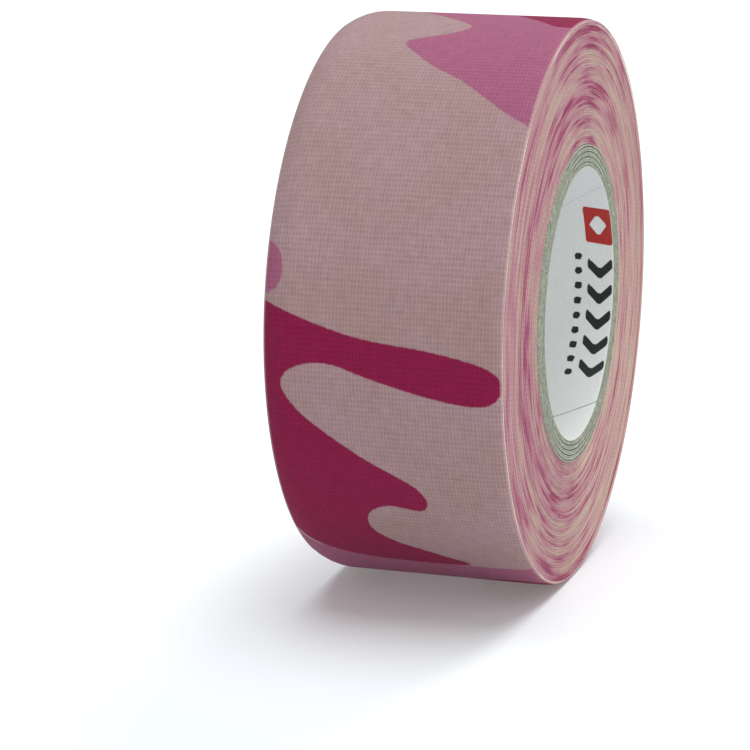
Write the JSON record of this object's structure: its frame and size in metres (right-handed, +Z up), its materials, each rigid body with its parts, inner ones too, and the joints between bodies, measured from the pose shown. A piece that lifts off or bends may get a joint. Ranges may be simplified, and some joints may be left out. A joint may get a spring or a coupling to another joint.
{
  "type": "cloth grip tape roll",
  "caption": "Roll of woven cloth grip tape on a spiral-wound paperboard core; the free end peels back off the roll.",
  "frame": {"origin": "middle of the roll, on its axis and half-way across its width", "axes": "+Y along the roll's axis, +Z up as the roll stands on its tread, +X across; the free end lies on the +X side, above the middle"},
  "size_m": [0.0575, 0.0242, 0.0577],
  "materials": {
    "tape_cloth": "matt woven cotton with a printed camouflage in pinks",
    "tape_pack": "edge of the wound tape, streaked by the print",
    "tape_adhesive": "tacky cream rubber adhesive",
    "core_board": "rough grey-green recycled paperboard",
    "core_liner": "smooth white calendered paper with a plain printed mark"
  },
  "bodies": {
    "roll": {"core_liner_ply": "core_liner", "core_board_ply_1": "core_board", "core_board_ply_2": "core_board", "core_board_ply_3": "core_board", "core_board_ply_4": "core_board", "tape_wound_pack": "tape_pack"},
    "lead_1": {"lead_cloth_1": "tape_cloth", "lead_adhesive_1": "tape_adhesive"},
    "lead_2": {"lead_cloth_2": "tape_cloth", "lead_adhesive_2": "tape_adhesive"},
    "lead_3": {"lead_cloth_3": "tape_cloth", "lead_adhesive_3": "tape_adhesive"},
    "lead_4": {"lead_cloth_4": "tape_cloth", "lead_adhesive_4": "tape_adhesive"},
    "lead_5": {"lead_cloth_5": "tape_cloth", "lead_adhesive_5": "tape_adhesive"},
    "lead_6": {"lead_cloth_6": "tape_cloth", "lead_adhesive_6": "tape_adhesive"}
  },
  "joints": [
    {"name": "peel_1", "type": "hinge", "parent": "roll", "child": "lead_1", "pos_m": [0.00565, 0, 0.02841], "axis": [0, -1, 0], "range_deg": [0, 20]},
    {"name": "peel_2", "type": "hinge", "parent": "lead_1", "child": "lead_2", "pos_m": [0.00931, 0, 0.02743], "axis": [0, -1, 0], "range_deg": [0, 20]},
    {"name": "peel_3", "type": "hinge", "parent": "lead_2", "child": "lead_3", "pos_m": [0.01282, 0, 0.02599], "axis": [0, -1, 0], "range_deg": [0, 20]},
    {"name": "peel_4", "type": "hinge", "parent": "lead_3", "child": "lead_4", "pos_m": [0.0161, 0, 0.0241], "axis": [0, -1, 0], "range_deg": [0, 20]},
    {"name": "peel_5", "type": "hinge", "parent": "lead_4", "child": "lead_5", "pos_m": [0.01911, 0, 0.02179], "axis": [0, -1, 0], "range_deg": [0, 20]},
    {"name": "peel_6", "type": "hinge", "parent": "lead_5", "child": "lead_6", "pos_m": [0.0218, 0, 0.01912], "axis": [0, -1, 0], "range_deg": [0, 20]}
  ]
}
